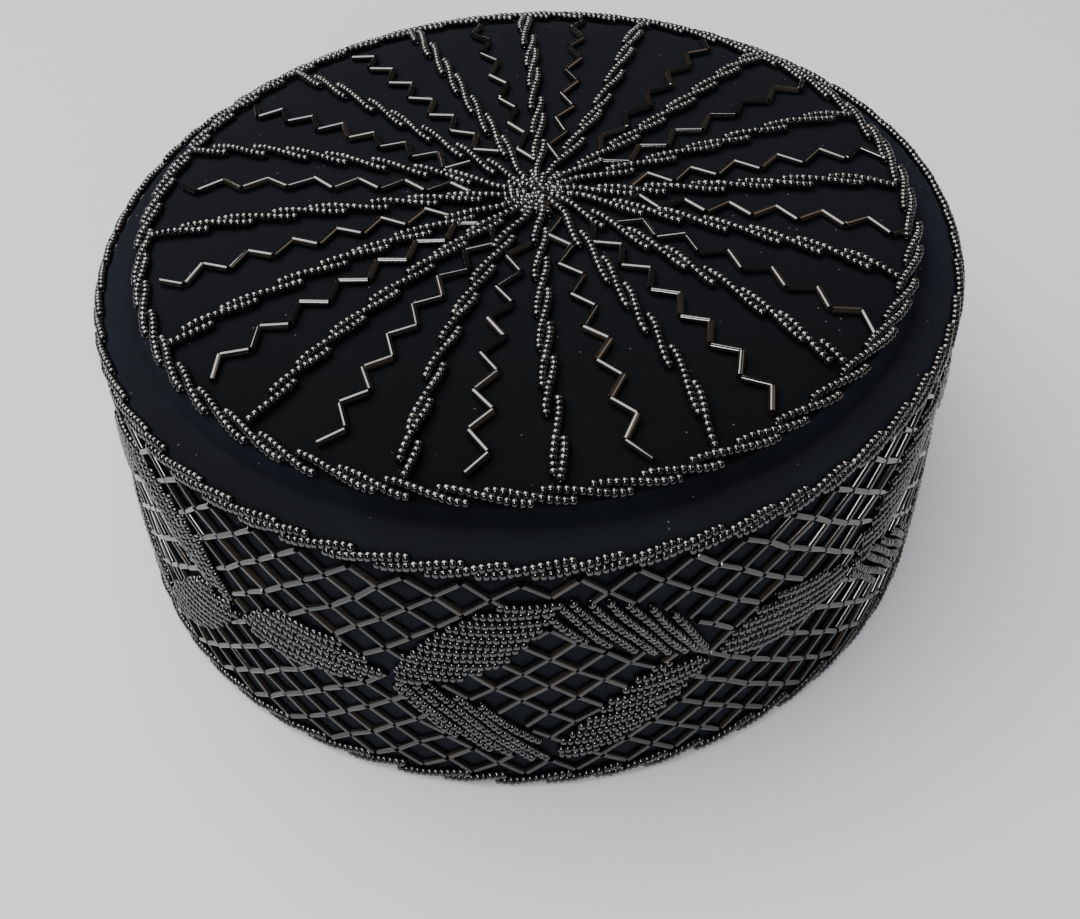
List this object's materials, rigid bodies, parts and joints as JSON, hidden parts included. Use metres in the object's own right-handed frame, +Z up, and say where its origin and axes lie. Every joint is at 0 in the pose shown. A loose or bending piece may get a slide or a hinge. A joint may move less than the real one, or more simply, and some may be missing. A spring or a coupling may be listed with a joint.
{
  "type": "beaded pillbox cap",
  "caption": "Round flat-topped velvet cap with a straight side wall, its top sewn with spokes and zigzags of black beads, its side with bead leaves over a bugle net.",
  "frame": {"origin": "centre of the open rim, on the floor that the rim rests on", "axes": "+Z up through the top of the cap, -Y towards the front as pictured, +X to the right of the picture"},
  "size_m": [0.1956, 0.1956, 0.0798],
  "materials": {
    "velvet": "deep black cotton velvet with a short pile",
    "seed_beads": "opaque jet-black glass seed beads, gloss",
    "bugle_beads": "opaque black glass tube beads, gloss"
  },
  "bodies": {
    "root": {"side_band": "velvet", "top_panel": "velvet", "crown_ring_string": "seed_beads", "top_edge_string": "seed_beads", "bottom_edge_string": "seed_beads", "spoke_centre": "seed_beads", "spoke_string_01": "seed_beads", "spoke_string_02": "seed_beads", "spoke_string_03": "seed_beads", "spoke_string_04": "seed_beads", "spoke_string_05": "seed_beads", "spoke_string_06": "seed_beads", "spoke_string_07": "seed_beads", "spoke_string_08": "seed_beads", "spoke_string_09": "seed_beads", "spoke_string_10": "seed_beads", "spoke_string_11": "seed_beads", "spoke_string_12": "seed_beads", "spoke_string_13": "seed_beads", "spoke_string_14": "seed_beads", "spoke_string_15": "seed_beads", "spoke_string_16": "seed_beads", "zigzag_string_01": "bugle_beads", "zigzag_string_02": "bugle_beads", "zigzag_string_03": "bugle_beads", "zigzag_string_04": "bugle_beads", "zigzag_string_05": "bugle_beads", "zigzag_string_06": "bugle_beads", "zigzag_string_07": "bugle_beads", "zigzag_string_08": "bugle_beads", "zigzag_string_09": "bugle_beads", "zigzag_string_10": "bugle_beads", "zigzag_string_11": "bugle_beads", "zigzag_string_12": "bugle_beads", "zigzag_string_13": "bugle_beads", "zigzag_string_14": "bugle_beads", "zigzag_string_15": "bugle_beads", "zigzag_string_16": "bugle_beads", "wreath_1_left": "seed_beads", "wreath_1_right": "seed_beads", "wreath_2_left": "seed_beads", "wreath_2_right": "seed_beads", "wreath_3_left": "seed_beads", "wreath_3_right": "seed_beads", "wreath_4_left": "seed_beads", "wreath_4_right": "seed_beads", "wreath_5_left": "seed_beads", "wreath_5_right": "seed_beads", "wreath_6_left": "seed_beads", "wreath_6_right": "seed_beads", "side_leaf_1": "seed_beads", "side_leaf_2": "seed_beads", "side_leaf_3": "seed_beads", "side_leaf_4": "seed_beads", "side_leaf_5": "seed_beads", "side_leaf_6": "seed_beads"}
  },
  "joints": []
}
